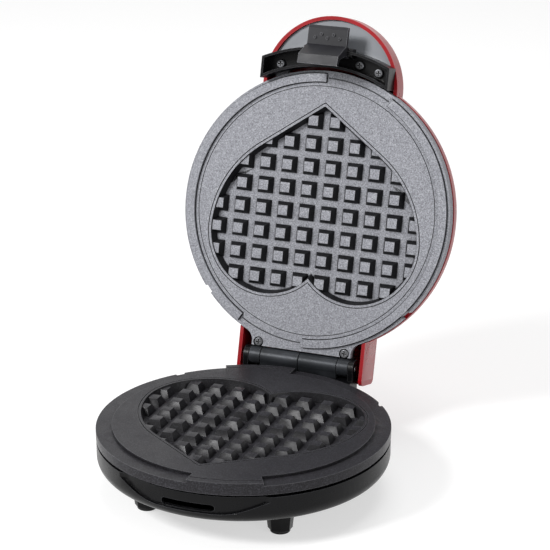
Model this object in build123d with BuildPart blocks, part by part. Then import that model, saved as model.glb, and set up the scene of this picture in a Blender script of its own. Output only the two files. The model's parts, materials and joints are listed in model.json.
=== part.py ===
from build123d import *
from math import asin, atan, atan2, cos, degrees, pi, radians, sin, sqrt
import os

os.makedirs("parts", exist_ok=True)

# A countertop heart waffle maker, standing open. Sizes are millimetres.
# Plan places are measured from the centre of the round plates: +X to the right, +Y to the hinge.
# Levels are measured from the parting plane, where the two plates meet when the lid is shut.
# Lid levels grow outwards from that plane, so the lid is drawn shut on its own tilted planes.

# Stance
seam_height = 45.0
lid_opening = 105.8
hinge_reach = 99.6
hinge_level = 2.1

# Cast plates
plate_radius = 92.0
land_radius = 82.0
face_gap = 0.2
ring_inner = 84.8
ring_outer = 90.0
ring_height = 1.8
ring_clearance = 0.4
ring_starts = [-59.5, 120.5]
ring_sweep = 149.0
gap_starts = [90.5, 270.5]
gap_sweep = 29.0
moat_width = 0.6
moat_depth = 0.9
land_line_width = 0.5
gap_line_radius = 87.4
gap_line_width = 0.9
line_depth = 0.7
rim_depth = 8.0
plate_depth = 9.5
plate_body_radius = 80.0
rim_notch_width = 6.0
rim_notch_depth = 1.8
rim_notch_angle = 41.0

# Heart mould
lobe_offset = 30.5
lobe_centre_y = 16.8
lobe_radius = 41.3
flank_radius = 71.5
flank_slope = 35.5
heart_tip_y = -69.0
heart_depth = 6.0
heart_draft = 2.0
lip_width = 1.5
lip_line_width = 0.6
notch_fillet = 0.6
tip_fillet = 1.2

# Waffle studs
stud_pitch = 15.2
stud_base = 10.9
stud_top = 6.5
stud_height = 5.0
stud_columns = 10
stud_rows = 8
stud_grid_y = -5.7

# Heating, the same in both halves
element_ring_radius = 55.0
element_radius = 3.2
element_level = 12.5
element_sweep = 312.0
groove_clearance = 0.05
rib_width = 12.0
rib_level = 12.4
tail_radius = 2.4
tail_reach = 6.0
reflector_level = 17.0
reflector_sheet = 0.6
reflector_radius = 79.0
reflector_rim = 4.0
hole_play = 0.8
boss_radius = 4.5
boss_places = [(50.0, 42.0), (-50.0, 42.0), (30.0, -62.0), (-30.0, -62.0)]
strap_angles = [30.0, 150.0, 270.0]
strap_thickness = 0.8
strap_width = 8.0
strap_length = 22.0
rivet_radius = 1.5

# Fasteners
screw_radius = 1.5
screw_play = 0.1
head_radius = 3.1
head_height = 2.0
head_play = 0.4
thread_reach = 6.0
drive_width = 0.9
drive_length = 3.6
drive_depth = 0.9

# Base housing
wall = 2.4
housing_radius = 91.8
housing_top = -10.0
housing_side = -19.0
housing_bottom = -27.0
floor_radius = 79.0
scoop_width = 122.0
scoop_floor = -21.0
scoop_floor_width = 36.0
scoop_shelf_width = 92.0
scoop_end_slope = -0.12
scoop_back = 12.0
recess_radius = 89.6
slot_width = 34.0
slot_top = -16.0
slot_bottom = -20.4
plate_clearance = 0.5
counterbore_level = -21.0

# Legs
leg_top_width = 17.0
leg_foot_width = 14.0
front_leg = (44.0, -50.0)
rear_leg = (29.0, 96.0)
pad_radius = 6.2
pad_thickness = 2.4
pad_stem_radius = 2.0
pad_stem = 4.0

# Hinge
barrel_radius = 6.0
pin_radius = 2.0
pin_clearance = 0.05
barrel_half = 26.7
barrel_seam = 0.3
knuckle_inner = 27.0
knuckle_outer = 34.7
cheek_inner = 35.0
cheek_outer = 38.5
pedestal_front = 76.0
pedestal_rear = 103.1
pedestal_top = -4.7
foot_front = 5.5
foot_rear = 3.4
arm_top = 9.2
arm_front = 88.3

# Hinge tab of the lid's plate
tab_rear = 93.0
tab_half_width = 34.7
tab_thickness = 4.3
tab_fillet = 8.0
hinge_screw_x = 30.2
hinge_screw_y = 90.6

# Lid shell
shell_radius = 92.6
shell_rim = 8.2
shell_side_level = 12.0
shell_shoulder_radius = 79.0
shell_shoulder_level = 29.0
crown_level = 33.0
handle_centre_y = -81.4
handle_radius = 46.5
handle_rim = 4.5
handle_top = 23.0
handle_round = 6.0
skirt_half_width = 44.0
skirt_front = 62.0
skirt_rear = 110.5
skirt_low = 0.6
skirt_rear_low = 10.5
skirt_top = 25.0
skirt_round = 4.0
post_radius = 4.0
liner_level = 6.5
liner_thickness = 1.6
liner_play = 0.1
liner_reach = 104.2
liner_rib = 1.8

# Latch bracket on the lid
bracket_inner = 94.3
bracket_outer = 107.0
bracket_half_width = 44.0
bracket_depth = 9.0
bracket_floor = 2.6
bracket_wall = 1.6
outer_screws = [(-34.0, -93.6), (34.0, -93.6)]
middle_screw = (20.6, -97.4)
ear_radius = 4.2

# Latch lever
latch_width = 27.2
latch_side_play = 0.5
latch_pivot_y = -104.5
latch_pivot_level = -3.5
latch_boss = 3.4
latch_pin_radius = 1.25
ear_thickness = 2.6
ear_reach = 3.2
grip_front = -121.0
grip_level = -9.0
grip_thickness = 2.6
hook_level = -24.6
grip_bump_radius = 1.0
grip_bump_height = 1.0
grip_bumps = [(-8.4, -113.0), (-4.2, -115.4), (0.0, -113.0), (4.2, -115.4), (8.4, -113.0)]

# Signal lamps on the lid
lamp_places = [(-9.0, -56.0), (9.0, -56.0)]
lamp_radius = 3.0
lamp_play = 0.1
lens_low = 26.0
lens_top = 33.2
holder_length = 36.0
holder_width = 12.0
holder_height = 4.0

# Cord inlet and wiring
gland_radius = 6.0
gland_stem_radius = 5.0
gland_bore = 3.6
gland_length = 9.0
gland_level = -19.4
terminal_width = 26.0
terminal_length = 10.0
terminal_height = 9.0
terminal_front = 86.0
lead_radius = 1.1
lead_level = -20.0
lead_bend = 8.0
thermostat_radius = 8.0
thermostat_height = 7.2
thermostat_neck = 5.0
thermostat_neck_length = 6.0
fuse_radius = 2.2
fuse_length = 14.0
fuse_place_y = -55.0

# Where the lid reaches furthest back: the rounded top edge of the handle
round_reach = handle_radius - handle_centre_y - handle_round + hinge_reach
round_rise = handle_top - handle_round - hinge_level
open_cos = cos(radians(lid_opening))
open_sin = sin(radians(lid_opening))
rear_reach = hinge_reach - round_reach * open_cos + round_rise * open_sin + handle_round
centre_y = (plate_radius - rear_reach) / 2

base_frame = Plane(origin=(0, centre_y, seam_height))
lid_origin = Vector(
    0,
    centre_y + hinge_reach - hinge_reach * open_cos - hinge_level * open_sin,
    seam_height + hinge_level + hinge_reach * open_sin - hinge_level * open_cos,
)
lid_frame = Plane(origin=lid_origin, x_dir=(1, 0, 0), z_dir=(0, open_sin, open_cos))
# The lid's cooking face, drawn as the base's is: Z towards the food, so left and right swap
lid_face = Plane(origin=lid_origin, x_dir=(-1, 0, 0), z_dir=lid_frame.z_dir * -1)

element_start = 90 + (360 - element_sweep) / 2
element_ends = [radians(element_start), radians(element_start + element_sweep)]
tail_places = [(element_ring_radius * cos(end), element_ring_radius * sin(end)) for end in element_ends]
hinge_screw_places = [(-hinge_screw_x, hinge_screw_y), (hinge_screw_x, hinge_screw_y)]
stud_taper = degrees(atan((stud_base - stud_top) / 2 / stud_height))


def finish(piece, name):
    """Label a finished piece and write it."""
    piece.part.label = name
    export_step(piece.part, f"parts/{name}.step")
    print(f"{name}: {len(piece.part.solids())} solids, {piece.part.volume / 1000:.2f} cm3")


def section(frame):
    """Plane that cuts a frame upright along its X."""
    return Plane(origin=frame.origin, x_dir=frame.x_dir, z_dir=frame.y_dir * -1)


def side(frame, x):
    """Plane that cuts a frame upright along its Y, at a place across the part."""
    return Plane(origin=frame.origin + frame.x_dir * x, x_dir=frame.y_dir, z_dir=frame.x_dir)


def upright(frame):
    """Axis through a frame's origin, along its Z."""
    return Axis(frame.origin, frame.z_dir)


def discs(plane, radius, places=((0, 0),)):
    """Round faces of one size at one or more places of a plane."""
    with BuildSketch(plane) as faces:
        with Locations(*places):
            Circle(radius)
    return faces.sketch


def block(plane, x_low, x_high, y_low, y_high):
    """Rectangular face between two pairs of places."""
    with BuildSketch(plane) as face:
        with Locations(((x_low + x_high) / 2, (y_low + y_high) / 2)):
            Rectangle(x_high - x_low, y_high - y_low)
    return face.sketch


def sector(plane, inner, outer, start, sweep):
    """Piece of a ring between two radii, from a start angle over a sweep."""
    with BuildSketch(plane) as piece:
        with BuildLine():
            far = CenterArc((0, 0), outer, start, sweep)
            near = CenterArc((0, 0), inner, start, sweep)
            Line(far @ 0, near @ 0)
            Line(far @ 1, near @ 1)
        make_face()
    return piece.sketch


def heart(plane, inset):
    """Heart outline, moved inwards by inset: straight sides at the tip, wide arcs, and two lobe arcs."""
    slope = radians(flank_slope)
    rise = lobe_centre_y - heart_tip_y
    lobe_along = lobe_offset * cos(slope) + rise * sin(slope)
    lobe_inwards = rise * cos(slope) - lobe_offset * sin(slope)
    bend_along = lobe_along - sqrt((flank_radius - lobe_radius) ** 2 - (flank_radius - lobe_inwards) ** 2)
    centre = (bend_along * cos(slope) - flank_radius * sin(slope),
              heart_tip_y + bend_along * sin(slope) + flank_radius * cos(slope))
    turn = atan2(lobe_centre_y - centre[1], lobe_offset - centre[0])
    flank = flank_radius - inset
    lobe = lobe_radius - inset
    tip = (0, heart_tip_y + inset / cos(slope))
    bend = (centre[0] + flank * sin(slope), centre[1] - flank * cos(slope))
    swell = (centre[0] + flank * cos((turn + slope - pi / 2) / 2),
             centre[1] + flank * sin((turn + slope - pi / 2) / 2))
    touch = (lobe_offset + lobe * cos(turn), lobe_centre_y + lobe * sin(turn))
    crest = (lobe_offset, lobe_centre_y + lobe)
    notch = (0, lobe_centre_y + sqrt(lobe**2 - lobe_offset**2))
    with BuildSketch(plane) as outline:
        with BuildLine() as half:
            Line(tip, bend)
            ThreePointArc(bend, swell, touch)
            ThreePointArc(touch, crest, notch)
            mirror(half.edges(), about=Plane.YZ)
        make_face()
        middle = outline.vertices().filter_by_position(Axis.X, -0.01, 0.01).sort_by(Axis.Y)
        fillet(middle[0], tip_fillet)
        fillet(middle[-1], notch_fillet + max(inset, 0))
    return outline.sketch


def stud_feet(plane):
    """Square feet of the studs that stand in the heart or cross its edge."""
    reach = heart(Plane.XY, -stud_top / 2).face()
    places = []
    for column in range(stud_columns):
        for row in range(stud_rows):
            x = (column - (stud_columns - 1) / 2) * stud_pitch
            y = (row - (stud_rows - 1) / 2) * stud_pitch + stud_grid_y
            if reach.is_inside(Vector(x, y)):
                places.append((x, y))
    with BuildSketch(plane) as feet:
        with Locations(*places):
            Rectangle(stud_base, stud_base)
    return feet.sketch


def rim_notches(plane):
    """The two small notches in a plate's rim, left and right of the hinge."""
    with BuildSketch(plane) as notches:
        for angle in (rim_notch_angle, 180 - rim_notch_angle):
            with PolarLocations(plate_radius, 1, start_angle=angle):
                Rectangle(2 * rim_notch_depth, rim_notch_width)
    return notches.sketch


def cast_plate(frame, rim_face):
    """A cooking plate, mould up, with a plain rim. rim_face is a depth under the parting plane."""
    mould_floor = face_gap + heart_depth
    with BuildPart() as plate:
        extrude(discs(frame.offset(-rim_depth), plate_radius), amount=rim_depth - rim_face)
        extrude(discs(frame.offset(-plate_depth), plate_body_radius), amount=plate_depth - face_gap)
        extrude(discs(frame.offset(-rim_depth), land_radius), amount=rim_depth - face_gap)
        mouth = heart(frame.offset(-face_gap), 0).face()
        floor = heart(frame.offset(-mould_floor), heart_draft).face()
        loft([mouth, floor], ruled=True, mode=Mode.SUBTRACT)
        with BuildSketch(frame.offset(-face_gap)) as lip_line:
            add(heart(Plane.XY, -lip_width - lip_line_width))
            add(heart(Plane.XY, -lip_width), mode=Mode.SUBTRACT)
        extrude(lip_line.sketch, amount=-line_depth, mode=Mode.SUBTRACT)
        extrude(stud_feet(frame.offset(-mould_floor)), amount=stud_height, taper=stud_taper)
        rib = sector(frame.offset(-rib_level), element_ring_radius - rib_width / 2,
                     element_ring_radius + rib_width / 2, element_start, element_sweep)
        extrude(rib, amount=rib_level - plate_depth)
        bosses = discs(frame.offset(-reflector_level), boss_radius, boss_places)
        extrude(bosses, amount=reflector_level - plate_depth)
        with BuildSketch(section(frame)) as groove:
            with Locations((element_ring_radius, -element_level)):
                Circle(element_radius + groove_clearance)
        revolve(groove.sketch, axis=upright(frame), mode=Mode.SUBTRACT)
        threads = discs(frame.offset(-reflector_level), screw_radius + screw_play, boss_places)
        extrude(threads, amount=thread_reach + screw_play, mode=Mode.SUBTRACT)
    return plate.part


def screws(seat, places, length):
    """Pan-head screws with crossed slots. seat is the plane under the heads, facing out of them."""
    with BuildPart() as group:
        extrude(discs(seat, head_radius, places), amount=head_height)
        fillet(group.edges().group_by(Axis(seat.origin, seat.z_dir))[-1], head_height * 0.45)
        extrude(discs(seat, screw_radius, places), amount=-length)
        with BuildSketch(seat.offset(head_height)) as slots:
            with Locations(*places):
                Rectangle(drive_length, drive_width)
                Rectangle(drive_width, drive_length)
        extrude(slots.sketch, amount=-drive_depth, mode=Mode.SUBTRACT)
    return group.part


# Lower plate: its rim lies low for the lid's ring, and is level with the land at the ring's two gaps
with BuildPart() as lower_plate:
    add(cast_plate(base_frame, ring_height + ring_clearance))
    for start in gap_starts:
        extrude(sector(base_frame.offset(-rim_depth), plate_body_radius, plate_radius, start, gap_sweep),
                amount=rim_depth - face_gap)
        gap_line = sector(base_frame.offset(-face_gap), gap_line_radius - gap_line_width / 2,
                          gap_line_radius + gap_line_width / 2, start, gap_sweep)
        extrude(gap_line, amount=-line_depth, mode=Mode.SUBTRACT)
    extrude(rim_notches(base_frame.offset(-rim_depth)), amount=rim_depth, mode=Mode.SUBTRACT)
finish(lower_plate, "lower_plate")

# Upper plate: its ring reaches past the parting plane. A tab at the rear takes the hinge screws,
# and two ears at the front take the outer screws of the latch bracket.
with BuildPart() as upper_plate:
    add(cast_plate(lid_face, face_gap))
    with BuildSketch(lid_frame.offset(face_gap)) as tab:
        Circle(plate_radius)
        with Locations((0, (tab_rear + skirt_front) / 2)):
            Rectangle(2 * tab_half_width, tab_rear - skirt_front)
        fillet(tab.vertices().filter_by_position(Axis.Y, skirt_front + 1, tab_rear - 1), tab_fillet)
        Circle(land_radius, mode=Mode.SUBTRACT)
        with Locations((0, -plate_radius)):
            Rectangle(3 * plate_radius, 2 * plate_radius + skirt_front, mode=Mode.SUBTRACT)
    extrude(amount=tab_thickness)
    with BuildSketch(lid_frame.offset(handle_rim)) as ears:
        for x, y in outer_screws:
            with Locations((x, y)):
                Circle(ear_radius)
            with Locations((x, y + ear_radius)):
                Rectangle(2 * ear_radius, 2 * ear_radius)
    extrude(amount=rim_depth - handle_rim)
    extrude(discs(lid_frame.offset(handle_rim), screw_radius + screw_play, outer_screws),
            amount=rim_depth, mode=Mode.SUBTRACT)
    extrude(discs(lid_frame, screw_radius + screw_play, hinge_screw_places),
            amount=rim_depth, mode=Mode.SUBTRACT)
    extrude(discs(lid_frame, head_radius + head_play, hinge_screw_places),
            amount=face_gap + head_height, mode=Mode.SUBTRACT)
    lid_land = lid_face.offset(-face_gap)
    for start in ring_starts:
        turned = 180 - start - ring_sweep
        moat_turn = degrees(moat_width / ring_outer)
        extrude(sector(lid_land, ring_inner - moat_width, ring_outer + moat_width, turned - moat_turn,
                       ring_sweep + 2 * moat_turn), amount=-moat_depth, mode=Mode.SUBTRACT)
        extrude(sector(lid_land.offset(-moat_depth), ring_inner, ring_outer, turned, ring_sweep),
                amount=moat_depth + face_gap + ring_height)
    for start in gap_starts:
        gap_line = sector(lid_land, gap_line_radius - gap_line_width / 2,
                          gap_line_radius + gap_line_width / 2, 180 - start - gap_sweep, gap_sweep)
        extrude(gap_line, amount=-line_depth, mode=Mode.SUBTRACT)
    with BuildSketch(lid_land) as land_line:
        Circle(land_radius + land_line_width / 2)
        Circle(land_radius - land_line_width / 2, mode=Mode.SUBTRACT)
    extrude(land_line.sketch, amount=-line_depth, mode=Mode.SUBTRACT)
    extrude(rim_notches(lid_frame), amount=rim_depth, mode=Mode.SUBTRACT)
finish(upper_plate, "upper_plate")

# Heating of each half: a ring element in the plate's groove, straps over it, and a reflector pan
for half, frame in (("lower", base_frame), ("upper", lid_face)):
    with BuildPart() as element:
        with BuildSketch(section(frame)) as rod:
            with Locations((element_ring_radius, -element_level)):
                Circle(element_radius)
        revolve(rod.sketch, axis=upright(frame), revolution_arc=element_sweep)
        element_part = element.part.rotate(upright(frame), element_start)
    with BuildPart() as turned_element:
        add(element_part)
        tails = discs(frame.offset(-element_level), tail_radius, tail_places)
        extrude(tails, amount=-(reflector_level - element_level + tail_reach))
    finish(turned_element, f"{half}_element")

    with BuildPart() as straps:
        for angle in strap_angles:
            x = element_ring_radius * cos(radians(angle))
            y = element_ring_radius * sin(radians(angle))
            with BuildSketch(frame.offset(-element_level - element_radius)) as strap:
                with Locations(Location((x, y), angle)):
                    Rectangle(strap_length, strap_width)
            extrude(strap.sketch, amount=-strap_thickness)
            with BuildSketch(frame.offset(-element_level - element_radius)) as rivets:
                with Locations(Location((x, y), angle)):
                    with GridLocations(strap_length - 4 * rivet_radius, 1, 2, 1):
                        Circle(rivet_radius)
            extrude(rivets.sketch, amount=element_level + element_radius - plate_depth)
    finish(straps, f"{half}_element_straps")

    with BuildPart() as reflector:
        extrude(discs(frame.offset(-reflector_level), reflector_radius), amount=-reflector_sheet)
        with BuildSketch(frame.offset(-reflector_level)) as rim:
            Circle(reflector_radius)
            Circle(reflector_radius - reflector_sheet, mode=Mode.SUBTRACT)
        extrude(rim.sketch, amount=reflector_rim)
        extrude(discs(frame.offset(-reflector_level), screw_radius + screw_play, boss_places),
                amount=-reflector_sheet, mode=Mode.SUBTRACT)
        extrude(discs(frame.offset(-reflector_level), tail_radius + hole_play, tail_places),
                amount=-reflector_sheet, mode=Mode.SUBTRACT)
        if half == "lower":
            extrude(discs(frame.offset(-reflector_level), thermostat_radius + hole_play),
                    amount=-reflector_sheet, mode=Mode.SUBTRACT)
    finish(reflector, f"{half}_reflector")

# Base housing: a round pan with four posts, the latch's scoop and slot, legs and the hinge pedestal
with BuildPart() as scoop:
    with BuildSketch(section(base_frame).offset(recess_radius - scoop_back)):
        with BuildLine():
            left = Spline((-scoop_width / 2, housing_top + scoop_end_slope),
                          (-scoop_floor_width / 2, scoop_floor), tangents=[(1, scoop_end_slope), (1, 0)])
            right = Spline((scoop_floor_width / 2, scoop_floor),
                           (scoop_width / 2, housing_top + scoop_end_slope),
                           tangents=[(1, 0), (1, -scoop_end_slope)])
            Line(left @ 1, right @ 0)
            Polyline(left @ 0, (-scoop_width / 2, housing_top + wall), (scoop_width / 2, housing_top + wall),
                     right @ 1)
        make_face()
    extrude(amount=scoop_back + 2 * wall)
    extrude(discs(base_frame.offset(housing_bottom), recess_radius), amount=-housing_bottom,
            mode=Mode.SUBTRACT)

with BuildPart() as base_housing:
    for inset in (0, wall):
        top = housing_top + inset
        with BuildSketch(section(base_frame)) as pan:
            with BuildLine():
                bottom = Line((0, housing_bottom + inset), (floor_radius - inset / 2, housing_bottom + inset))
                turn = TangentArc((housing_radius - inset, housing_side), bottom @ 1, tangent=(0, -1))
                edge = Line((housing_radius - inset, housing_side), (housing_radius - inset, top))
                Polyline(edge @ 1, (0, top), bottom @ 0)
            make_face()
        revolve(pan.sketch, axis=upright(base_frame), mode=Mode.SUBTRACT if inset else Mode.ADD)
        if not inset:
            extrude(block(base_frame.offset(housing_bottom), -cheek_outer, cheek_outer,
                          pedestal_front, pedestal_rear), amount=pedestal_top - housing_bottom)
    extrude(block(base_frame.offset(housing_bottom + wall), wall - cheek_outer, cheek_outer - wall,
                  pedestal_front - wall, pedestal_rear - wall),
            amount=pedestal_top - housing_bottom - 2 * wall, mode=Mode.SUBTRACT)
    recess_sweep = 2 * degrees(asin(scoop_shelf_width / 2 / recess_radius))
    shelf = sector(base_frame.offset(housing_bottom + wall), recess_radius - wall, housing_radius - wall,
                   -90 - recess_sweep / 2, recess_sweep)
    extrude(shelf, amount=scoop_floor - housing_bottom - wall)
    back_sweep = 2 * degrees(asin(scoop_width / 2 / recess_radius)) + scoop_back
    back = sector(base_frame.offset(housing_bottom + wall), recess_radius - wall, recess_radius,
                  -90 - back_sweep / 2, back_sweep)
    extrude(back, amount=housing_top - housing_bottom - wall)
    add(scoop.part, mode=Mode.SUBTRACT)
    with BuildSketch(section(base_frame).offset(recess_radius - 3 * wall)) as slot:
        with Locations((0, (slot_top + slot_bottom) / 2)):
            SlotOverall(slot_width, slot_top - slot_bottom)
    extrude(slot.sketch, amount=5 * wall, mode=Mode.SUBTRACT)
    extrude(discs(base_frame.offset(housing_top), plate_radius + plate_clearance), amount=-housing_top,
            mode=Mode.SUBTRACT)
    post_top = -reflector_level - reflector_sheet
    extrude(discs(base_frame.offset(housing_bottom), boss_radius, boss_places),
            amount=post_top - housing_bottom)
    extrude(discs(base_frame.offset(housing_bottom), screw_radius + screw_play, boss_places),
            amount=post_top - housing_bottom, mode=Mode.SUBTRACT)
    extrude(discs(base_frame.offset(housing_bottom), head_radius + screw_play, boss_places),
            amount=counterbore_level - housing_bottom, mode=Mode.SUBTRACT)
    leg_places = [front_leg, (-front_leg[0], front_leg[1]), rear_leg, (-rear_leg[0], rear_leg[1])]
    leg_foot = pad_thickness - seam_height
    for place in leg_places:
        sections = []
        for level, width in ((housing_bottom, leg_top_width), (leg_foot, leg_foot_width)):
            with BuildSketch(base_frame.offset(level)) as outline:
                with Locations(place):
                    RegularPolygon(width / 2, 8, major_radius=False, rotation=22.5)
            sections.append(outline.sketch.face())
        loft(sections, ruled=True)
    extrude(discs(base_frame.offset(leg_foot), pad_stem_radius + screw_play, leg_places),
            amount=pad_stem + screw_play, mode=Mode.SUBTRACT)
    for x in (cheek_inner, -cheek_outer):
        with BuildSketch(side(base_frame, x)) as cheek:
            with Locations((hinge_reach, hinge_level)):
                Circle(barrel_radius)
            with Locations((hinge_reach, (hinge_level + pedestal_top) / 2)):
                Rectangle(2 * barrel_radius, hinge_level - pedestal_top)
            with Locations((pedestal_rear, pedestal_top)):
                Rectangle(2 * (hinge_reach + barrel_radius - pedestal_rear),
                          4 * barrel_radius, mode=Mode.SUBTRACT)
            with Locations((hinge_reach, hinge_level)):
                Circle(pin_radius + pin_clearance, mode=Mode.SUBTRACT)
        extrude(cheek.sketch, amount=cheek_outer - cheek_inner)
    gland_hole = Plane(origin=base_frame.origin + Vector(0, pedestal_rear, gland_level),
                       x_dir=(-1, 0, 0), z_dir=(0, 1, 0))
    extrude(discs(gland_hole, gland_stem_radius + liner_play), amount=-2 * wall, mode=Mode.SUBTRACT)
finish(base_housing, "base_housing")

# Rubber feet: a pad under each leg with a stem pressed into it
with BuildPart() as rubber_feet:
    extrude(discs(base_frame.offset(-seam_height), pad_radius, leg_places), amount=pad_thickness)
    fillet(rubber_feet.edges().group_by(Axis.Z)[0], pad_thickness / 3)
    extrude(discs(base_frame.offset(leg_foot), pad_stem_radius, leg_places), amount=pad_stem)
finish(rubber_feet, "rubber_feet")

# Screws from below that hold the reflector and the lower plate on the posts
with BuildPart() as lower_plate_screws:
    seat = Plane(origin=base_frame.offset(counterbore_level).origin, x_dir=(1, 0, 0), z_dir=(0, 0, -1))
    turned_places = [(x, -y) for x, y in boss_places]
    add(screws(seat, turned_places, thread_reach - counterbore_level - reflector_level))
finish(lower_plate_screws, "lower_plate_screws")

# Screws behind the upper plate that hold its reflector
with BuildPart() as upper_plate_screws:
    seat = lid_frame.offset(reflector_level + reflector_sheet)
    add(screws(seat, [(-x, y) for x, y in boss_places], thread_reach + reflector_sheet))
finish(upper_plate_screws, "upper_plate_screws")

# Hinge: two barrel halves stand on the pedestal, the lid's arms turn outside them on one pin
for name, x_low, x_high in (("hinge_barrel_left", -barrel_half, -barrel_seam / 2),
                            ("hinge_barrel_right", barrel_seam / 2, barrel_half)):
    with BuildPart() as barrel:
        with BuildSketch(side(base_frame, x_low)) as outline:
            with Locations((hinge_reach, hinge_level)):
                Circle(barrel_radius)
            with Locations((hinge_reach + (foot_rear - foot_front) / 2, (hinge_level + pedestal_top) / 2)):
                Rectangle(foot_front + foot_rear, hinge_level - pedestal_top)
            with Locations((hinge_reach, hinge_level)):
                Circle(pin_radius + pin_clearance, mode=Mode.SUBTRACT)
        extrude(amount=x_high - x_low)
    finish(barrel, name)

with BuildPart() as hinge_pin:
    with BuildSketch(side(base_frame, -cheek_outer)) as rod:
        with Locations((hinge_reach, hinge_level)):
            Circle(pin_radius)
    extrude(amount=2 * cheek_outer)
    chamfer(hinge_pin.edges().filter_by(GeomType.CIRCLE), pin_radius / 4)
finish(hinge_pin, "hinge_pin")

for name, x_low in (("hinge_arm_left", -knuckle_outer), ("hinge_arm_right", knuckle_inner)):
    with BuildPart() as arm:
        tab_back = face_gap + tab_thickness
        with BuildSketch(side(lid_frame, x_low)) as outline:
            with Locations((hinge_reach, hinge_level)):
                Circle(barrel_radius)
            with Locations(((arm_front + hinge_reach) / 2, (tab_back + arm_top) / 2)):
                Rectangle(hinge_reach - arm_front, arm_top - tab_back)
            with Locations((hinge_reach, hinge_level)):
                Circle(pin_radius + pin_clearance, mode=Mode.SUBTRACT)
        extrude(amount=knuckle_outer - knuckle_inner)
        extrude(discs(lid_frame, screw_radius + screw_play, hinge_screw_places),
                amount=2 * arm_top, mode=Mode.SUBTRACT)
    finish(arm, name)

with BuildPart() as hinge_screws:
    seat_depth = face_gap + head_height
    seat = lid_face.offset(-seat_depth)
    add(screws(seat, [(-x, y) for x, y in hinge_screw_places], arm_top - seat_depth + thread_reach))
finish(hinge_screws, "hinge_screws")


def shell_form(inset):
    """The lid's outer form, or with an inset the hollow inside it: dome, round handle, hinge skirt."""
    low = 1 if inset else 0
    with BuildPart() as form:
        radius = shell_radius - inset
        shoulder = (shell_shoulder_radius - inset / 2, shell_shoulder_level - inset)
        crown = (0, crown_level - inset)
        with BuildSketch(section(lid_frame)) as dome:
            with BuildLine():
                edge = Line((radius, shell_rim - low), (radius, shell_side_level))
                TangentArc(edge @ 1, shoulder, tangent=(0, 1))
                drop = crown[1] - shoulder[1]
                bow = (shoulder[0] ** 2 + drop**2) / (2 * drop)
                halfway = (shoulder[0] / 2, crown[1] - bow + sqrt(bow**2 - shoulder[0] ** 2 / 4))
                ThreePointArc(shoulder, halfway, crown)
                Polyline(crown, (0, shell_rim - low), edge @ 0)
            make_face()
        revolve(dome.sketch, axis=upright(lid_frame))
        skirt = block(lid_frame.offset(skirt_low - low), inset - skirt_half_width, skirt_half_width - inset,
                      skirt_front, skirt_rear - inset)
        extrude(skirt, amount=skirt_top - inset - skirt_low + low)
    with BuildPart() as handle:
        rim = discs(lid_frame.offset(handle_rim - low), handle_radius - inset, [(0, handle_centre_y)])
        extrude(rim, amount=handle_top - inset - handle_rim + low)
        fillet(handle.edges().group_by(upright(lid_frame))[-1], handle_round - inset)
    with BuildPart() as both:
        add(form.part)
        add(handle.part)
    return both.part


# Lid shell: one red moulding with the handle at the front and the skirt round the hinge
with BuildPart() as lid_shell:
    add(shell_form(0))
    rear_edges = lid_shell.edges().filter_by(Axis.X).group_by(Axis(lid_origin, lid_frame.y_dir))[-1]
    fillet(rear_edges, skirt_round)
    add(shell_form(wall), mode=Mode.SUBTRACT)
    extrude(discs(lid_frame, plate_radius + plate_clearance), amount=shell_rim - screw_play,
            mode=Mode.SUBTRACT)
    extrude(block(lid_frame, wall - skirt_half_width, skirt_half_width - wall,
                  plate_radius, skirt_rear + wall), amount=skirt_rear_low, mode=Mode.SUBTRACT)
    post_top = skirt_top - wall / 2
    extrude(discs(lid_frame.offset(arm_top), post_radius, hinge_screw_places), amount=post_top - arm_top)
    extrude(discs(lid_frame.offset(arm_top), screw_radius + screw_play, hinge_screw_places),
            amount=thread_reach + screw_play, mode=Mode.SUBTRACT)
    front_top = handle_top - wall / 2
    for low, places in ((rim_depth, outer_screws), (handle_rim, [middle_screw])):
        extrude(discs(lid_frame.offset(low), post_radius, places), amount=front_top - low)
        extrude(discs(lid_frame.offset(low), screw_radius + screw_play, places),
                amount=thread_reach + screw_play, mode=Mode.SUBTRACT)
    lamp_posts = [((holder_length / 2 - post_radius) * hand, lamp_places[0][1]) for hand in (-1, 1)]
    extrude(discs(lid_frame.offset(lens_low), post_radius / 2, lamp_posts),
            amount=crown_level - 1.5 * wall - lens_low)
    extrude(discs(lid_frame.offset(lens_low), lamp_radius + lamp_play, lamp_places),
            amount=crown_level, mode=Mode.SUBTRACT)
finish(lid_shell, "lid_shell")

# Signal lamps: a lens each, seated on the lamp holder behind the shell
for name, place in zip(("power_lens", "ready_lens"), lamp_places):
    with BuildPart() as lens:
        extrude(discs(lid_frame.offset(lens_low), lamp_radius, [place]), amount=lens_top - lens_low)
        fillet(lens.edges().group_by(upright(lid_frame))[-1], lamp_radius / 2)
    finish(lens, name)

with BuildPart() as lamp_holder:
    y = lamp_places[0][1]
    extrude(block(lid_frame.offset(lens_low - holder_height), -holder_length / 2, holder_length / 2,
                  y - holder_width / 2, y + holder_width / 2), amount=holder_height)
finish(lamp_holder, "lamp_holder")

# Handle liner: the smooth grey cover inside the handle's rim
with BuildPart() as handle_liner:
    for level, height, reach, far in ((handle_rim, liner_level - handle_rim, liner_reach, liner_rib),
                                      (liner_level, liner_thickness, liner_reach, 2 * plate_radius)):
        with BuildSketch(lid_frame.offset(level)) as cover:
            with Locations((0, handle_centre_y)):
                Circle(handle_radius - wall - liner_play)
            Circle(liner_reach + far, mode=Mode.INTERSECT)
            Circle(reach, mode=Mode.SUBTRACT)
            with Locations((0, plate_radius)):
                Rectangle(4 * plate_radius, 3 * plate_radius, mode=Mode.SUBTRACT)
        extrude(cover.sketch, amount=height)
finish(handle_liner, "handle_liner")

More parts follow.
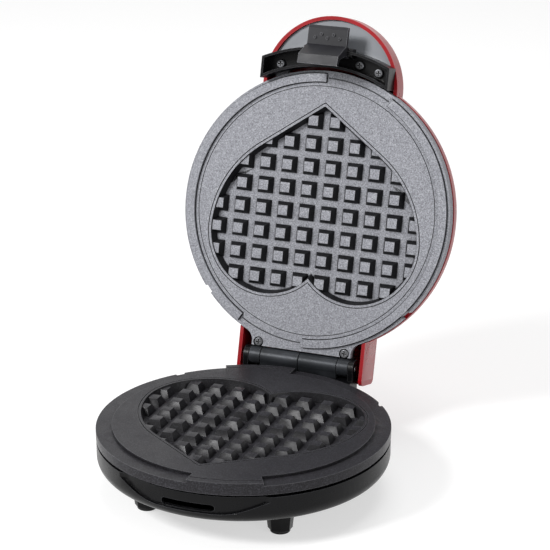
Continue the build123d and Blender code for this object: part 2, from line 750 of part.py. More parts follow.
# Latch bracket: a black arc tray in front of the lid's plate that carries the latch lever
bracket_back = handle_rim
tray_face = bracket_back - bracket_floor
opening_half = latch_width / 2 + latch_side_play
with BuildPart() as latch_bracket:
    for level, height, inset, mode in ((-bracket_depth, bracket_back + bracket_depth, 0, Mode.ADD),
                                       (-bracket_depth, tray_face + bracket_depth, bracket_wall,
                                        Mode.SUBTRACT)):
        with BuildSketch(lid_frame.offset(level)) as tray:
            Circle(bracket_outer - inset)
            Circle(bracket_inner + inset, mode=Mode.SUBTRACT)
            with Locations((0, -plate_radius)):
                Rectangle(2 * (bracket_half_width - inset), plate_radius, mode=Mode.INTERSECT)
        extrude(tray.sketch, amount=height, mode=mode)
    for x in (opening_half, -opening_half - ear_thickness):
        with BuildSketch(side(lid_frame, x)) as ear:
            with Locations((latch_pivot_y, latch_pivot_level)):
                Circle(ear_reach)
            with Locations((latch_pivot_y, (latch_pivot_level + tray_face) / 2)):
                Rectangle(2 * ear_reach, tray_face - latch_pivot_level)
        extrude(ear.sketch, amount=ear_thickness)
    extrude(block(lid_frame.offset(-bracket_depth), -opening_half, opening_half,
                  -bracket_outer - wall, latch_pivot_y + ear_reach), amount=tray_face + bracket_depth,
            mode=Mode.SUBTRACT)
    with BuildSketch(side(lid_frame, -opening_half - ear_thickness)) as pin_hole:
        with Locations((latch_pivot_y, latch_pivot_level)):
            Circle(latch_pin_radius + pin_clearance)
    extrude(pin_hole.sketch, amount=2 * (opening_half + ear_thickness), mode=Mode.SUBTRACT)
    extrude(discs(lid_frame.offset(tray_face), screw_radius + screw_play, outer_screws + [middle_screw]),
            amount=bracket_floor, mode=Mode.SUBTRACT)
finish(latch_bracket, "latch_bracket")

with BuildPart() as bracket_screws:
    seat = lid_face.offset(-tray_face)
    for places, hold in ((outer_screws, rim_depth), ([middle_screw], handle_rim)):
        add(screws(seat, [(-x, y) for x, y in places], hold + thread_reach - tray_face))
finish(bracket_screws, "bracket_screws")

# Latch lever: ribbed grip in front, pivot boss, and the hook that catches the slot in the base
with BuildPart() as latch_lever:
    with BuildSketch(side(lid_frame, -latch_width / 2)) as lever:
        with BuildLine():
            Polyline((grip_front, grip_level + 0.8), (grip_front + 2, grip_level), (-108.6, grip_level - 0.5),
                     (-101.8, hook_level + 1.1), (-95.6, hook_level), (-95.2, hook_level + 2.3),
                     (-99.8, hook_level + 4.4), (-102.6, -8.0), (-101.4, -3.5), (-107.6, -3.5),
                     (-108.6, grip_level + grip_thickness), (grip_front + 0.4, grip_level + grip_thickness + 0.4),
                     close=True)
        make_face()
        with Locations((latch_pivot_y, latch_pivot_level)):
            Circle(latch_boss)
            Circle(latch_pin_radius + pin_clearance, mode=Mode.SUBTRACT)
    extrude(amount=latch_width)
    extrude(discs(lid_frame.offset(grip_level - grip_bump_height), grip_bump_radius, grip_bumps),
            amount=grip_bump_height + 0.5)
finish(latch_lever, "latch_lever")

with BuildPart() as latch_pin:
    reach = opening_half + ear_thickness
    with BuildSketch(side(lid_frame, -reach)) as rod:
        with Locations((latch_pivot_y, latch_pivot_level)):
            Circle(latch_pin_radius)
    extrude(amount=2 * reach)
finish(latch_pin, "latch_pin")

# Cord gland in the pedestal's rear wall
with BuildPart() as cord_gland:
    extrude(discs(gland_hole, gland_radius), amount=gland_length)
    fillet(cord_gland.edges().group_by(Axis.Y)[-1], gland_radius / 3)
    extrude(discs(gland_hole, gland_stem_radius), amount=-2 * wall)
    extrude(discs(gland_hole.offset(gland_length), gland_bore), amount=-gland_length - 2 * wall,
            mode=Mode.SUBTRACT)
finish(cord_gland, "cord_gland")

# Terminal block on the pedestal's floor, and the leads from it to the tails of the element
with BuildPart() as terminal_block:
    extrude(block(base_frame.offset(housing_bottom + wall), -terminal_width / 2, terminal_width / 2,
                  terminal_front, terminal_front + terminal_length), amount=terminal_height)
finish(terminal_block, "terminal_block")

with BuildPart() as element_leads:
    for x, y in tail_places:
        hand = 1 if x > 0 else -1
        gap = tail_radius + screw_play
        with BuildLine(base_frame.offset(lead_level)) as route:
            FilletPolyline((hand * terminal_width / 4, terminal_front),
                           (hand * terminal_width / 4, terminal_front - lead_bend),
                           (x, y + 2 * lead_bend), (x, y + gap), radius=lead_bend / 2)
        with BuildSketch(Plane(route.line @ 0, z_dir=route.line % 0)) as wire:
            Circle(lead_radius)
        sweep(wire.sketch, path=route.line)
finish(element_leads, "element_leads")

# Thermostat against the back of the lower plate, and the thermal fuse clipped under the reflector
with BuildPart() as thermostat:
    extrude(discs(base_frame.offset(-plate_depth), thermostat_radius), amount=-thermostat_height)
    extrude(discs(base_frame.offset(-plate_depth - thermostat_height), thermostat_neck),
            amount=-thermostat_neck_length)
finish(thermostat, "thermostat")

with BuildPart() as thermal_fuse:
    fuse_axis_level = -reflector_level - reflector_sheet - fuse_radius
    with BuildSketch(side(base_frame, -fuse_length / 2)) as tube:
        with Locations((fuse_place_y, fuse_axis_level)):
            Circle(fuse_radius)
    extrude(amount=fuse_length)
finish(thermal_fuse, "thermal_fuse")
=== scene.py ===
import json
from math import radians

import bmesh
import bpy
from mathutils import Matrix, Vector

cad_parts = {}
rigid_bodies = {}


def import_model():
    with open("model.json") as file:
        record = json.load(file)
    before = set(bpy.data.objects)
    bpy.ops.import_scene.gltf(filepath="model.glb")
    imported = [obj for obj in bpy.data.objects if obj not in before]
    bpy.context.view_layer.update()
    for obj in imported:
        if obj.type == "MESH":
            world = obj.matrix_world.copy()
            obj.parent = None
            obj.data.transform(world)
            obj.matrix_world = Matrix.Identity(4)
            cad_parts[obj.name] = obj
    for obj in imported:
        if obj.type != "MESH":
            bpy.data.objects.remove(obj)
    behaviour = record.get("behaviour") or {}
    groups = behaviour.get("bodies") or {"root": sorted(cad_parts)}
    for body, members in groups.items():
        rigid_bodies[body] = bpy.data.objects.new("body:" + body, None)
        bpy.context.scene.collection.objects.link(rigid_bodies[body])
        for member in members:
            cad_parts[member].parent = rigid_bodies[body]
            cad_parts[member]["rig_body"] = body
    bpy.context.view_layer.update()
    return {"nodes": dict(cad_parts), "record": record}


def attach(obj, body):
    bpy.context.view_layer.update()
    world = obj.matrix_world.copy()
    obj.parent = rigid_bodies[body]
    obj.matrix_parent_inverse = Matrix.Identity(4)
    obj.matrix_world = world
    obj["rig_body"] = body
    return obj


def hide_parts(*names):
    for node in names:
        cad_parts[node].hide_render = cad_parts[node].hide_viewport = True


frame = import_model()
nodes = frame["nodes"]
slotOf = {row["node"]: row["material_slot"] for row in frame["record"]["subparts"]}
scene = bpy.context.scene
print("frame loaded:", len(nodes), "nodes")


def shade(red, green, blue):  # screen values 0-255 to a linear colour
    screen = [value / 255 for value in (red, green, blue)]
    return (*[v / 12.92 if v <= 0.04 else ((v + 0.055) / 1.055) ** 2.4 for v in screen], 1)


def addNode(tree, kind, **settings):
    node = tree.nodes.new(kind)
    for key, value in settings.items():
        setattr(node, key, value)
    return node


def feed(tree, node, **values):  # numbers are set, sockets are linked; n1 is input 1, _ stands for a space
    for key, value in values.items():
        numbered = key[0] == "n" and key[1:].isdigit()
        socket = node.inputs[int(key[1:]) if numbered else key.replace("_", " ")]
        if isinstance(value, bpy.types.NodeSocket):
            tree.links.new(value, socket)
        else:
            socket.default_value = value
    return node


def newGroup(name, inputs, outputs):
    group = bpy.data.node_groups.new(name, "ShaderNodeTree")
    for label, kind, value in inputs:
        group.interface.new_socket(name=label, in_out="INPUT", socket_type=kind).default_value = value
    for label, kind in outputs:
        group.interface.new_socket(name=label, in_out="OUTPUT", socket_type=kind)
    return group, addNode(group, "NodeGroupInput").outputs, addNode(group, "NodeGroupOutput")


def noiseOf(tree, where, scale, detail=2.0, roughness=0.5):
    node = addNode(tree, "ShaderNodeTexNoise")
    return feed(tree, node, Vector=where, Scale=scale, Detail=detail, Roughness=roughness)


def mathOf(tree, operation, first, second=0.0):
    return feed(tree, addNode(tree, "ShaderNodeMath", operation=operation), n0=first, n1=second).outputs[0]


def rangeOf(tree, value, low, high, newLow=0.0, newHigh=1.0):
    node = addNode(tree, "ShaderNodeMapRange")
    feed(tree, node, Value=value, From_Min=low, From_Max=high, To_Min=newLow, To_Max=newHigh)
    return node.outputs["Result"]


def blendOf(tree, factor, first, second):
    node = addNode(tree, "ShaderNodeMix", data_type="RGBA")
    feed(tree, node, n0=factor, n6=first, n7=second)
    return node.outputs[2]


floatKind, colorKind, vectorKind = "NodeSocketFloat", "NodeSocketColor", "NodeSocketVector"

# Pairs are the values at which a mask starts and is full; scales are per metre or times the given scale
groupLooks = {
    "grain": {"detail": 3.0, "roughness": 0.6, "pitShare": 0.5, "tone": (0.3, 0.7), "toneDetail": 4.0,
              "toneRoughness": 0.55, "smudge": (0.4, 0.72), "smudgeScale": 3.1, "smudgeDetail": 5.0,
              "smudgeRoughness": 0.65},
    "speckle": {"roughness": 0.6, "pepper": (0.5, 0.3), "salt": (0.52, 0.72), "flake": (0.86, 0.97),
                "flakeScale": 0.9, "flakeShare": 0.55},
    "edge": {"samples": 6, "outer": (0.75, 0.3), "hollow": (0.8, 0.45), "breakupScale": 260, "breakupDetail": 3.0,
             "highlightBreakup": (0.25, 0.6), "breakupFloor": 0.55},
    "wallShade": {"turned": (0.93, 0.8)},
    "brush": {"detail": 4.0, "roughness": 0.65, "stainScale": 55, "stainDetail": 5.0, "stainRoughness": 0.6,
              "stain": (0.38, 0.68)},
}


def makeGrain(look):  # fine moulded or cast texture with a slow drift of tone
    group, given, out = newGroup(
        "mouldedGrain",
        [("Place", vectorKind, (0, 0, 0)), ("Scale", floatKind, 1500), ("Drift", floatKind, 18)],
        [("Height", floatKind), ("Tone", floatKind), ("Smudge", floatKind)])
    fine = noiseOf(group, given["Place"], given["Scale"], look["detail"], look["roughness"])
    pits = feed(group, addNode(group, "ShaderNodeTexVoronoi"), Vector=given["Place"], Scale=given["Scale"])
    mixed = mathOf(group, "MULTIPLY_ADD", pits.outputs["Distance"], look["pitShare"])
    group.links.new(fine.outputs[0], mixed.node.inputs[2])
    slow = noiseOf(group, given["Place"], given["Drift"], look["toneDetail"], look["toneRoughness"])
    smudgeScale = mathOf(group, "MULTIPLY", given["Drift"], look["smudgeScale"])
    smudge = noiseOf(group, given["Place"], smudgeScale, look["smudgeDetail"], look["smudgeRoughness"])
    feed(group, out, Height=mixed, Tone=rangeOf(group, slow.outputs[0], *look["tone"]),
         Smudge=rangeOf(group, smudge.outputs[0], *look["smudge"]))
    return group


def makeSpeckle(look):  # salt-and-pepper flakes of a sprayed coating
    group, given, out = newGroup(
        "sprayedSpeckle",
        [("Place", vectorKind, (0, 0, 0)), ("Scale", floatKind, 1100), ("Dark", colorKind, (0, 0, 0, 1)),
         ("Middle", colorKind, (0.2, 0.2, 0.2, 1)), ("Light", colorKind, (1, 1, 1, 1))],
        [("Color", colorKind), ("Height", floatKind), ("Flake", floatKind)])
    spray = noiseOf(group, given["Place"], given["Scale"], roughness=look["roughness"])
    flakes = feed(group, addNode(group, "ShaderNodeTexVoronoi"), Vector=given["Place"],
                  Scale=mathOf(group, "MULTIPLY", given["Scale"], look["flakeScale"]))
    pick = feed(group, addNode(group, "ShaderNodeSeparateColor"), Color=flakes.outputs["Color"])
    pepper = rangeOf(group, spray.outputs[0], *look["pepper"])
    salt = rangeOf(group, spray.outputs[0], *look["salt"])
    flake = rangeOf(group, pick.outputs[0], *look["flake"])
    base = blendOf(group, pepper, given["Middle"], given["Dark"])
    lit = blendOf(group, salt, base, given["Light"])
    glint = mathOf(group, "MULTIPLY", flake, look["flakeShare"])
    feed(group, out, Color=blendOf(group, glint, lit, given["Light"]), Height=spray.outputs[0], Flake=flake)
    return group


def makeEdge(look):  # masks for a painted highlight along the outer edges, broken up a little, and for painted shade in the hollows beside walls
    group, given, out = newGroup(
        "edgeHighlightAndHollowShade",
        [("Place", vectorKind, (0, 0, 0)), ("Width", floatKind, 0.0008), ("Depth", floatKind, 0.004)],
        [("Mask", floatKind), ("Hollow", floatKind)])
    # The inside occlusion finds outer edges, where a lighter colour is painted as highlight; the outside
    # occlusion finds hollows, where a darker colour is painted as shade
    outer = addNode(group, "ShaderNodeAmbientOcclusion", inside=True, samples=look["samples"])
    inner = addNode(group, "ShaderNodeAmbientOcclusion", samples=look["samples"])
    feed(group, outer, Distance=given["Width"])
    feed(group, inner, Distance=given["Depth"])
    # Noise that breaks up the painted edge highlight
    breakupNoise = noiseOf(group, given["Place"], look["breakupScale"], look["breakupDetail"])
    highlightBreakup = rangeOf(group, breakupNoise.outputs[0], *look["highlightBreakup"], newLow=look["breakupFloor"])
    edge = rangeOf(group, outer.outputs["AO"], *look["outer"])
    feed(group, out, Mask=mathOf(group, "MULTIPLY", edge, highlightBreakup),
         Hollow=rangeOf(group, inner.outputs["AO"], *look["hollow"]))
    return group


def makeWallShade(look):  # mask of the steep walls inside the mould, where shade is painted
    group, given, out = newGroup(
        "steepWallShade",
        [("Place", vectorKind, (0, 0, 0)), ("Normal", vectorKind, (0, 0, 1)), ("Axis", vectorKind, (0, 0, 1)),
         ("Centre", vectorKind, (0, 0, 0)), ("Reach", floatKind, 0.078)],
        [("Wall", floatKind)])
    turn = feed(group, addNode(group, "ShaderNodeVectorMath", operation="DOT_PRODUCT"), n0=given["Normal"],
                n1=given["Axis"]).outputs["Value"]
    away = feed(group, addNode(group, "ShaderNodeVectorMath", operation="DISTANCE"), n0=given["Place"],
                n1=given["Centre"]).outputs["Value"]
    within = mathOf(group, "LESS_THAN", away, given["Reach"])
    feed(group, out, Wall=mathOf(group, "MULTIPLY", rangeOf(group, turn, *look["turned"]), within))
    return group


def makeBrush(look):  # drawn or rolled metal, long in X
    group, given, out = newGroup(
        "drawnMetal",
        [("Place", vectorKind, (0, 0, 0)), ("Scale", floatKind, 900), ("Stretch", vectorKind, (0.04, 1, 1))],
        [("Height", floatKind), ("Stain", floatKind)])
    pulled = feed(group, addNode(group, "ShaderNodeMapping"), Vector=given["Place"], Scale=given["Stretch"])
    lines = noiseOf(group, pulled.outputs[0], given["Scale"], look["detail"], look["roughness"])
    stain = noiseOf(group, given["Place"], look["stainScale"], look["stainDetail"], look["stainRoughness"])
    feed(group, out, Height=lines.outputs[0], Stain=rangeOf(group, stain.outputs[0], *look["stain"]))
    return group


makers = {"grain": makeGrain, "speckle": makeSpeckle, "edge": makeEdge, "wallShade": makeWallShade,
          "brush": makeBrush}
groups = {name: make(groupLooks[name]) for name, make in makers.items()}
print("node groups made:", len(groups))


def placed(tree, name, **values):
    return feed(tree, addNode(tree, "ShaderNodeGroup", node_tree=groups[name]), **values)


def startMaterial(name, look):
    material = bpy.data.materials.new(name)
    material.use_nodes = True
    tree = material.node_tree
    shader = tree.nodes["Principled BSDF"]
    for socket, value in look["shader"].items():
        shader.inputs[socket].default_value = value
    return material, tree, shader, addNode(tree, "ShaderNodeTexCoord").outputs["Object"]


def bumpInto(tree, shader, height, distance, strength=1.0):
    bump = feed(tree, addNode(tree, "ShaderNodeBump"), Height=height, Distance=distance, Strength=strength)
    tree.links.new(bump.outputs[0], shader.inputs["Normal"])


def plastic(name, look):  # moulded plastic or rubber: tone drift, smudges, painted highlight along the edges, fine grain
    material, tree, shader, where = startMaterial(name, look)
    grain = placed(tree, "grain", Place=where, Scale=look["grain"], Drift=look["drift"])
    edge = placed(tree, "edge", Place=where, Width=look["edge"], Depth=look["hollow"])
    body = blendOf(tree, grain.outputs["Tone"], look["dark"], look["light"])
    # Painted highlight: the edges are blended towards a lighter colour
    lift = mathOf(tree, "MULTIPLY", edge.outputs["Mask"], look["edgeHighlightShare"])
    tree.links.new(blendOf(tree, lift, body, look["edgeHighlightColor"]), shader.inputs["Base Color"])
    low, high = look["roughness"]
    tree.links.new(rangeOf(tree, grain.outputs["Smudge"], 0, 1, low, high), shader.inputs["Roughness"])
    bumpInto(tree, shader, grain.outputs["Height"], look["depth"])
    return material


def coating(name, look):  # sprayed non-stick coat on cast aluminium, with a painted highlight along the edges and painted shade in the hollows and on the steep walls
    material, tree, shader, where = startMaterial(name, look)
    speckle = placed(tree, "speckle", Place=where, Scale=look["speckle"], Dark=look["dark"],
                     Middle=look["middle"], Light=look["light"])
    grain = placed(tree, "grain", Place=where, Scale=look["grain"], Drift=look["drift"])
    edge = placed(tree, "edge", Place=where, Width=look["edge"], Depth=look["hollow"])
    # Painted highlight: the edges are blended towards a lighter colour
    lift = mathOf(tree, "MULTIPLY", edge.outputs["Mask"], look["edgeHighlightShare"])
    # Painted shade: the hollows beside walls are blended towards a near-black colour
    hollowShadeAmount = mathOf(tree, "MULTIPLY", edge.outputs["Hollow"], look["hollowShadeShare"])
    evened = mathOf(tree, "MULTIPLY", grain.outputs["Tone"], look["toneShare"])
    toned = blendOf(tree, evened, speckle.outputs["Color"], look["middle"])
    edged = blendOf(tree, lift, toned, look["edgeHighlightColor"])
    shaded = blendOf(tree, hollowShadeAmount, edged, look["paintedShadeColor"])
    normal = addNode(tree, "ShaderNodeTexCoord").outputs["Normal"]
    wallShade = placed(tree, "wallShade", Place=where, Normal=normal, Axis=look["axis"], Centre=look["centre"],
                    Reach=look["reach"])
    # Painted shade: the steep walls of the mould are blended towards the near-black shade colour
    wallShadeAmount = mathOf(tree, "MULTIPLY", wallShade.outputs["Wall"], look["wallShadeShare"])
    tree.links.new(blendOf(tree, wallShadeAmount, shaded, look["paintedShadeColor"]), shader.inputs["Base Color"])
    low, high = look["roughness"]
    tree.links.new(rangeOf(tree, grain.outputs["Smudge"], 0, 1, low, high), shader.inputs["Roughness"])
    bumpInto(tree, shader, speckle.outputs["Height"], look["depth"])
    return material


def metal(name, look):  # uncoated or plated metal: drawn lines, stains, painted highlight along the edges, painted shade in the hollows
    material, tree, shader, where = startMaterial(name, look)
    brush = placed(tree, "brush", Place=where, Scale=look["lines"], Stretch=look["stretch"])
    edge = placed(tree, "edge", Place=where, Width=look["edge"], Depth=look["hollow"])
    body = blendOf(tree, brush.outputs["Stain"], look["dark"], look["light"])
    # Painted highlight: the edges are blended towards a lighter colour
    lift = mathOf(tree, "MULTIPLY", edge.outputs["Mask"], look["edgeHighlightShare"])
    # Painted shade: the hollows beside walls are blended towards a near-black colour
    hollowShadeAmount = mathOf(tree, "MULTIPLY", edge.outputs["Hollow"], look["hollowShadeShare"])
    edged = blendOf(tree, lift, body, look["edgeHighlightColor"])
    tree.links.new(blendOf(tree, hollowShadeAmount, edged, look["paintedShadeColor"]), shader.inputs["Base Color"])
    low, high = look["roughness"]
    tree.links.new(rangeOf(tree, brush.outputs["Height"], *lineRelief, low, high), shader.inputs["Roughness"])
    bumpInto(tree, shader, brush.outputs["Height"], look["depth"])
    return material


def lens(name, look):  # clear tinted cap, its tint drifting a little
    material, tree, shader, where = startMaterial(name, look)
    grain = placed(tree, "grain", Place=where, Scale=look["grain"], Drift=look["drift"])
    body = blendOf(tree, grain.outputs["Tone"], look["dark"], look["light"])
    tree.links.new(body, shader.inputs["Base Color"])
    low, high = look["roughness"]
    tree.links.new(rangeOf(tree, grain.outputs["Smudge"], 0, 1, low, high), shader.inputs["Roughness"])
    bumpInto(tree, shader, grain.outputs["Height"], look["depth"])
    return material


# edge is how far the painted edge highlight reaches and hollow how far the painted hollow shade reaches, in
# metres
fineEdge = {"edge": 0.0006, "hollow": 0.004}
lineRelief = (0.3, 0.7)  # the drawn lines' heights at which the roughness is lowest and highest
finishes = {
    "red_gloss": plastic("redGloss", {
        "shader": {"Specular IOR Level": 0.2, "Coat Weight": 0.2, "Coat Roughness": 0.08, "Coat IOR": 1.35},
        "dark": shade(128, 10, 18), "light": shade(156, 16, 26), "edgeHighlightColor": shade(226, 120, 124),
        "edgeHighlightShare": 0.4, **fineEdge, "grain": 420, "drift": 14, "roughness": (0.26, 0.36),
        "depth": 0.000006}),
    "black_housing": plastic("satinBlack", {
        "shader": {"Specular IOR Level": 0.14},
        "dark": shade(7, 7, 8), "light": shade(12, 12, 14), "edgeHighlightColor": shade(110, 111, 116),
        "edgeHighlightShare": 0.5, **fineEdge, "grain": 1700, "drift": 16, "roughness": (0.26, 0.36),
        "depth": 0.000014}),
    "black_lever": plastic("leverBlack", {
        "shader": {"Specular IOR Level": 0.18},
        "dark": shade(25, 25, 28), "light": shade(35, 35, 39), "edgeHighlightColor": shade(170, 171, 176),
        "edgeHighlightShare": 0.6, **fineEdge, "grain": 1800, "drift": 30, "roughness": (0.34, 0.46),
        "depth": 0.00002}),
    "black_hinge": metal("hingeBlack", {
        "shader": {"Metallic": 0.35, "Specular IOR Level": 0.2},
        "dark": shade(36, 38, 41), "light": shade(52, 54, 58), "edgeHighlightColor": shade(160, 160, 164),
        "edgeHighlightShare": 0.45, **fineEdge, "hollowShadeShare": 0.5, "paintedShadeColor": shade(12, 12, 13),
        "lines": 700, "stretch": (1, 0.5, 0.5), "roughness": (0.3, 0.46), "depth": 0.00003}),
    "lower_coating": coating("lowerCoat", {
        "shader": {"Metallic": 0.1, "Specular IOR Level": 0.14},
        "dark": shade(22, 21, 23), "middle": shade(36, 35, 38), "light": shade(66, 66, 71),
        "edgeHighlightColor": shade(150, 150, 154), "edgeHighlightShare": 0.5, **fineEdge,
        "paintedShadeColor": shade(6, 6, 7), "hollowShadeShare": 0.6,
        "axis": (0, 0, 1), "centre": (0, -0.0441, 0.045), "reach": 0.078, "wallShadeShare": 0.6, "toneShare": 0.22,
        "speckle": 1500, "grain": 1500, "drift": 20, "roughness": (0.3, 0.44), "depth": 0.00003}),
    # Painted sheen: a lighter grey copy of the dark non-stick coat, lightened for the studio light its satin
    # face reflects
    "upper_coating": coating("upperCoatPaintedSheen", {
        "shader": {"Metallic": 0.0, "Specular IOR Level": 0.1},
        "dark": shade(98, 98, 104), "middle": shade(134, 135, 141), "light": shade(168, 170, 175),
        "edgeHighlightColor": shade(206, 208, 212), "edgeHighlightShare": 0.5, "edge": 0.0005, "hollow": 0.0016,
        "paintedShadeColor": shade(6, 6, 8), "hollowShadeShare": 1.0,
        "axis": (0, -0.9622, 0.2723), "centre": (0, 0.0806, 0.1435), "reach": 0.078, "wallShadeShare": 0.96,
        "toneShare": 0.22,
        "speckle": 1250, "grain": 1300, "drift": 16, "roughness": (0.46, 0.6), "depth": 0.00004}),
    "grey_liner": plastic("linerGrey", {
        "shader": {"Specular IOR Level": 0.45},
        "dark": shade(118, 121, 126), "light": shade(132, 135, 140), "edgeHighlightColor": shade(220, 222, 226),
        "edgeHighlightShare": 0.6, **fineEdge, "grain": 1600, "drift": 22, "roughness": (0.4, 0.52),
        "depth": 0.00002}),
    "black_rubber": plastic("footRubber", {
        "shader": {"Specular IOR Level": 0.35},
        "dark": shade(13, 13, 13), "light": shade(22, 22, 22), "edgeHighlightColor": shade(60, 60, 60),
        "edgeHighlightShare": 0.3, **fineEdge, "grain": 1200, "drift": 40, "roughness": (0.62, 0.8),
        "depth": 0.00004}),
    "zinc_screw": metal("darkZinc", {
        "shader": {"Metallic": 0.8, "Specular IOR Level": 0.5},
        "dark": shade(60, 61, 64), "light": shade(104, 105, 108), "edgeHighlightColor": shade(206, 206, 208),
        "edgeHighlightShare": 0.5, **fineEdge, "hollowShadeShare": 0.95, "paintedShadeColor": shade(14, 14, 15),
        "lines": 1500, "stretch": (1, 1, 1), "roughness": (0.28, 0.42), "depth": 0.00002}),
    "steel_pin": metal("groundSteel", {
        "shader": {"Metallic": 0.95, "Specular IOR Level": 0.5},
        "dark": shade(150, 150, 152), "light": shade(196, 196, 198), "edgeHighlightColor": shade(235, 235, 236),
        "edgeHighlightShare": 0.4, **fineEdge, "hollowShadeShare": 0.3, "paintedShadeColor": shade(60, 60, 60),
        "lines": 900, "stretch": (0.05, 1, 1), "roughness": (0.22, 0.36), "depth": 0.00001}),
    "element_sheath": metal("oxidisedSheath", {
        "shader": {"Metallic": 0.75, "Specular IOR Level": 0.5},
        "dark": shade(64, 58, 56), "light": shade(120, 112, 104), "edgeHighlightColor": shade(150, 140, 128),
        "edgeHighlightShare": 0.3, **fineEdge, "hollowShadeShare": 0.3, "paintedShadeColor": shade(36, 30, 28),
        "lines": 600, "stretch": (1, 1, 1), "roughness": (0.42, 0.6), "depth": 0.00003}),
    "bare_sheet": metal("aluminisedSheet", {
        "shader": {"Metallic": 0.9, "Specular IOR Level": 0.5},
        "dark": shade(150, 150, 148), "light": shade(190, 190, 188), "edgeHighlightColor": shade(230, 230, 228),
        "edgeHighlightShare": 0.4, **fineEdge, "hollowShadeShare": 0.4, "paintedShadeColor": shade(70, 68, 66),
        "lines": 500, "stretch": (0.05, 1, 1), "roughness": (0.3, 0.48), "depth": 0.00002}),
    "ceramic_block": plastic("paleBlock", {
        "shader": {"Specular IOR Level": 0.4},
        "dark": shade(206, 198, 182), "light": shade(224, 218, 204), "edgeHighlightColor": shade(240, 236, 226),
        "edgeHighlightShare": 0.4, **fineEdge, "grain": 1300, "drift": 40, "roughness": (0.5, 0.66),
        "depth": 0.00003}),
    "lead_sleeve": plastic("leadSleeve", {
        "shader": {"Specular IOR Level": 0.3},
        "dark": shade(186, 176, 152), "light": shade(214, 206, 184), "edgeHighlightColor": shade(232, 226, 210),
        "edgeHighlightShare": 0.3, **fineEdge, "grain": 2600, "drift": 90, "roughness": (0.7, 0.86),
        "depth": 0.00012}),
    "red_lens": lens("redLens", {
        "shader": {"Transmission Weight": 0.35, "Coat Weight": 0.5, "Coat Roughness": 0.05},
        "dark": shade(120, 10, 10), "light": shade(196, 30, 22), "grain": 500, "drift": 60,
        "roughness": (0.1, 0.2), "depth": 0.000004}),
    "green_lens": lens("greenLens", {
        "shader": {"Transmission Weight": 0.35, "Coat Weight": 0.5, "Coat Roughness": 0.05},
        "dark": shade(14, 92, 30), "light": shade(40, 156, 60), "grain": 500, "drift": 60,
        "roughness": (0.1, 0.2), "depth": 0.000004}),
}
for name, node in nodes.items():
    for place in node.material_slots:
        place.material = finishes[slotOf[name]]
print("materials made:", len(finishes))

meshLook = {"merge": 0.000004, "flat": 0.5}  # metres between points made one, degrees between faces made one


def softened(nodeName, look):  # a merged copy of a CAD node, its edges rounded as moulded or cast ones are
    shape = bmesh.new()
    shape.from_mesh(nodes[nodeName].data)
    bmesh.ops.remove_doubles(shape, verts=shape.verts, dist=meshLook["merge"])
    flat = radians(look.get("flat", meshLook["flat"]))
    bmesh.ops.dissolve_limit(shape, angle_limit=flat, verts=shape.verts, edges=shape.edges,
                             use_dissolve_boundaries=False)
    mesh = bpy.data.meshes.new(look["name"])
    shape.to_mesh(mesh)
    shape.free()
    mesh.shade_smooth()
    mesh.set_sharp_from_angle(angle=radians(look["angle"]))
    mesh.materials.append(finishes[slotOf[nodeName]])
    piece = bpy.data.objects.new(look["name"], mesh)
    scene.collection.objects.link(piece)
    bevel = piece.modifiers.new("softEdges", "BEVEL")
    bevel.limit_method = "ANGLE"
    bevel.angle_limit = radians(look["angle"])
    bevel.width = look["round"] / 1000
    bevel.segments = look["segments"]
    bevel.use_clamp_overlap = True
    bevel.harden_normals = True
    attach(piece, nodes[nodeName]["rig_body"])
    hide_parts(nodeName)
    return piece


# Round in millimetres. In degrees: edges sharper than angle are rounded, faces within flat are joined
softPieces = {
    "base_housing": {"name": "housing", "round": 0.5, "segments": 3, "angle": 32},
    "lower_plate": {"name": "lowerPlate", "round": 0.25, "segments": 2, "angle": 24},
    "upper_plate": {"name": "upperPlate", "round": 0.2, "segments": 2, "angle": 24},
    "lid_shell": {"name": "lidShell", "round": 0.5, "segments": 3, "angle": 32, "flat": 0.02},
    "hinge_barrel_left": {"name": "barrelLeft", "round": 0.4, "segments": 3, "angle": 32},
    "hinge_barrel_right": {"name": "barrelRight", "round": 0.4, "segments": 3, "angle": 32},
    "hinge_arm_left": {"name": "armLeft", "round": 0.4, "segments": 3, "angle": 32},
    "hinge_arm_right": {"name": "armRight", "round": 0.4, "segments": 3, "angle": 32},
    "handle_liner": {"name": "handleLiner", "round": 0.3, "segments": 3, "angle": 32},
    "latch_bracket": {"name": "latchBracket", "round": 0.35, "segments": 3, "angle": 32},
    "latch_lever": {"name": "latchLever", "round": 0.35, "segments": 3, "angle": 26},
    "cord_gland": {"name": "cordGland", "round": 0.4, "segments": 3, "angle": 32},
    "terminal_block": {"name": "terminalBlock", "round": 0.4, "segments": 3, "angle": 32},
    "lamp_holder": {"name": "lampHolder", "round": 0.4, "segments": 3, "angle": 32},
}
for nodeName, look in softPieces.items():
    softened(nodeName, look)
print("soft edges on", len(softPieces), "pieces")

# Camera at the photograph's angle
view = {"place": (0.49795, -1.26062, 0.62064), "target": (0.12075, -0.29849, 0.24378), "lens": 150.53,
        "sensor": 36, "clip": 0.05}
camera = bpy.data.objects.new("camera", bpy.data.cameras.new("camera"))
camera.data.lens = view["lens"]
camera.data.sensor_width = view["sensor"]
camera.data.clip_start = view["clip"]
camera.location = view["place"]
camera.rotation_euler = (Vector(view["target"]) - Vector(view["place"])).to_track_quat("-Z", "Y").to_euler()
scene.collection.objects.link(camera)
scene.camera = camera

# Soft studio light: a large one upper left in front, a low one to the right, one above
lampTarget = Vector((0, 0, 0.12))
lamps = {
    "keyLight": {"place": (-1.1, -1.4, 1.5), "size": 0.6, "power": 52},
    "fillLight": {"place": (1.6, -0.9, 0.7), "size": 1.0, "power": 9},
    "topLight": {"place": (0.1, 0.4, 1.9), "size": 1.2, "power": 18},
}
for name, look in lamps.items():
    lamp = bpy.data.lights.new(name, "AREA")
    lamp.energy = look["power"]
    lamp.size = look["size"]
    holder = bpy.data.objects.new(name, lamp)
    holder.location = look["place"]
    holder.rotation_euler = (lampTarget - Vector(look["place"])).to_track_quat("-Z", "Y").to_euler()
    scene.collection.objects.link(holder)

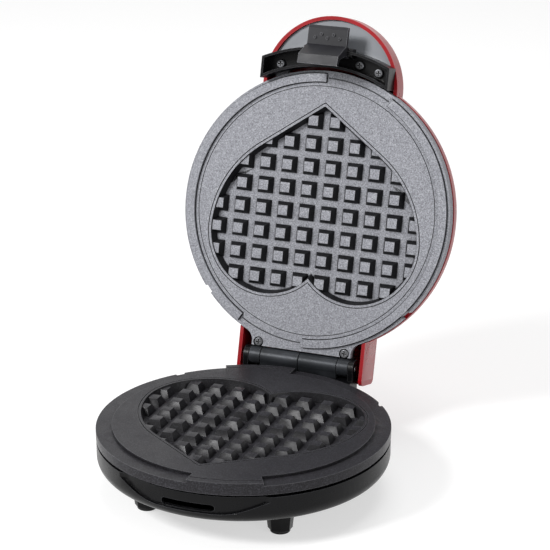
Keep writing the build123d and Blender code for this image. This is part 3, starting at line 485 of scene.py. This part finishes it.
# White backdrop to look at, with a weaker light from all sides
worldLook = {"light": 0.22, "backdrop": 1.0}
world = bpy.data.worlds.new("studio")
scene.world = world
world.use_nodes = True
tree = world.node_tree
glow = tree.nodes["Background"]
feed(tree, glow, Color=(1, 1, 1, 1), Strength=worldLook["light"])


def seenDirectly(tree):  # 1 where the camera, a reflection or clear glass looks
    path = addNode(tree, "ShaderNodeLightPath").outputs
    seen = mathOf(tree, "MAXIMUM", path["Is Camera Ray"], path["Is Glossy Ray"])
    return mathOf(tree, "MAXIMUM", seen, path["Is Transmission Ray"])


white = feed(tree, addNode(tree, "ShaderNodeBackground"), Color=(1, 1, 1, 1), Strength=worldLook["backdrop"])
either = feed(tree, addNode(tree, "ShaderNodeMixShader"), n0=seenDirectly(tree), n1=glow.outputs[0],
              n2=white.outputs[0])
tree.links.new(either.outputs[0], tree.nodes["World Output"].inputs[0])

# White paper under the part, lifted a little where the camera sees it
floorLook = {"half": 5.0, "color": (0.86, 0.86, 0.86, 1), "roughness": 0.9, "glow": 1.3, "lift": 0.45}
sheet = bmesh.new()
bmesh.ops.create_grid(sheet, x_segments=1, y_segments=1, size=floorLook["half"])
floorMesh = bpy.data.meshes.new("floor")
sheet.to_mesh(floorMesh)
sheet.free()
floor = bpy.data.objects.new("floor", floorMesh)
scene.collection.objects.link(floor)
paper = bpy.data.materials.new("paper")
paper.use_nodes = True
tree = paper.node_tree
matt = feed(tree, tree.nodes["Principled BSDF"], Base_Color=floorLook["color"],
            Roughness=floorLook["roughness"])
gleam = feed(tree, addNode(tree, "ShaderNodeEmission"), Color=(1, 1, 1, 1), Strength=floorLook["glow"])
weight = mathOf(tree, "MULTIPLY", seenDirectly(tree), floorLook["lift"])
mixed = feed(tree, addNode(tree, "ShaderNodeMixShader"), n0=weight, n1=matt.outputs[0], n2=gleam.outputs[0])
tree.links.new(mixed.outputs[0], tree.nodes["Material Output"].inputs[0])
floorMesh.materials.append(paper)

scene.view_settings.view_transform = "Standard"
print("camera, light and floor set")
